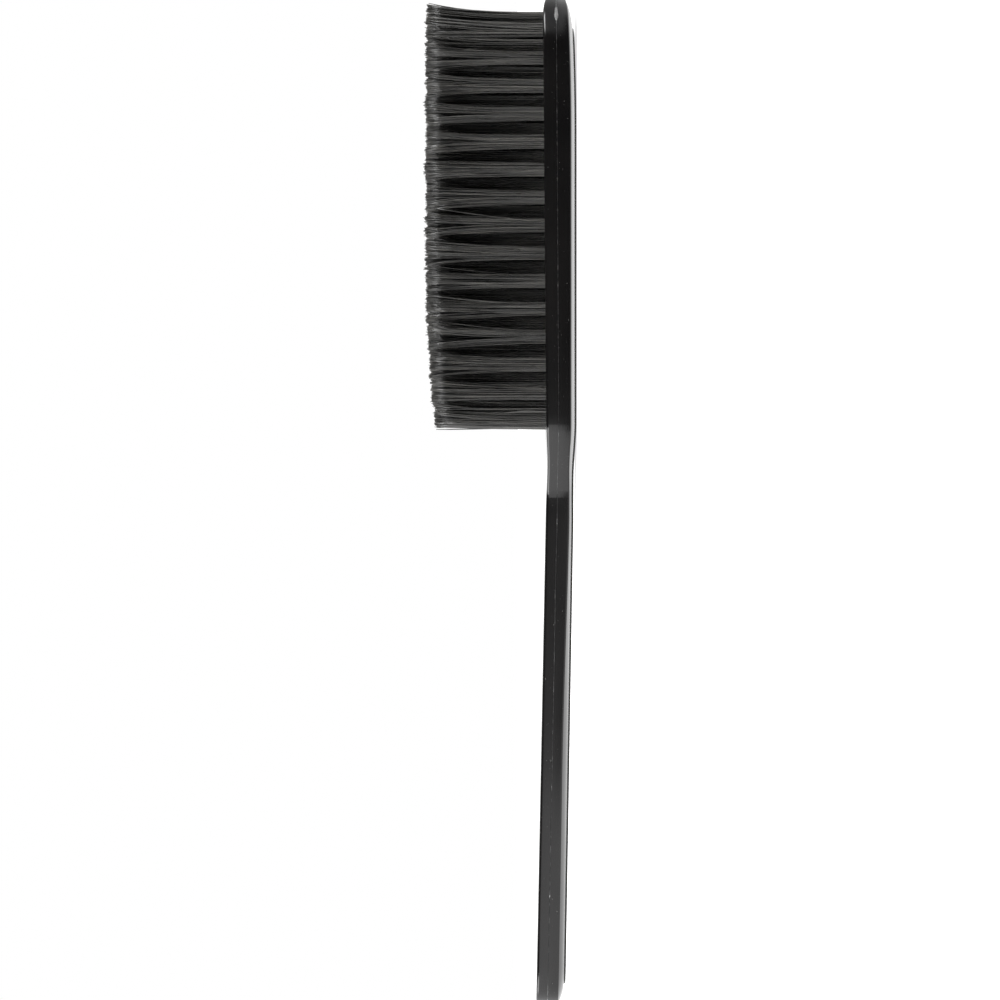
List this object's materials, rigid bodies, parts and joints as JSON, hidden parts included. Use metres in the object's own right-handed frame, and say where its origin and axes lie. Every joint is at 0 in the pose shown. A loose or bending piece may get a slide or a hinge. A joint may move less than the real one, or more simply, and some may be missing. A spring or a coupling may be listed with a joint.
{
  "type": "fade brush",
  "caption": "Flat one-piece moulded barber's brush: paddle head set with rows of nylon bristle tufts, sloping shoulders and a slim crowned handle.",
  "frame": {"origin": "under the middle of the brush's bounding box, in the plane of the flat back it lies on", "axes": "+Z the way the bristles point, +Y along the brush towards the head's end, +X across it"},
  "size_m": [0.038, 0.184, 0.0271],
  "materials": {
    "black_plastic": "injection-moulded, polished gloss black",
    "bristle_nylon": "black nylon filament with a soft sheen",
    "anchor_steel": "flat drawn wire, plain"
  },
  "bodies": {
    "root": {"brush_body": "black_plastic", "bristle_row_01": "bristle_nylon", "bristle_row_02": "bristle_nylon", "bristle_row_03": "bristle_nylon", "bristle_row_04": "bristle_nylon", "bristle_row_05": "bristle_nylon", "bristle_row_06": "bristle_nylon", "bristle_row_07": "bristle_nylon", "bristle_row_08": "bristle_nylon", "bristle_row_09": "bristle_nylon", "bristle_row_10": "bristle_nylon", "bristle_row_11": "bristle_nylon", "bristle_row_12": "bristle_nylon", "bristle_row_13": "bristle_nylon", "bristle_row_14": "bristle_nylon", "bristle_row_15": "bristle_nylon", "anchor_row_01": "anchor_steel", "anchor_row_02": "anchor_steel", "anchor_row_03": "anchor_steel", "anchor_row_04": "anchor_steel", "anchor_row_05": "anchor_steel", "anchor_row_06": "anchor_steel", "anchor_row_07": "anchor_steel", "anchor_row_08": "anchor_steel", "anchor_row_09": "anchor_steel", "anchor_row_10": "anchor_steel", "anchor_row_11": "anchor_steel", "anchor_row_12": "anchor_steel", "anchor_row_13": "anchor_steel", "anchor_row_14": "anchor_steel", "anchor_row_15": "anchor_steel"}
  },
  "joints": []
}
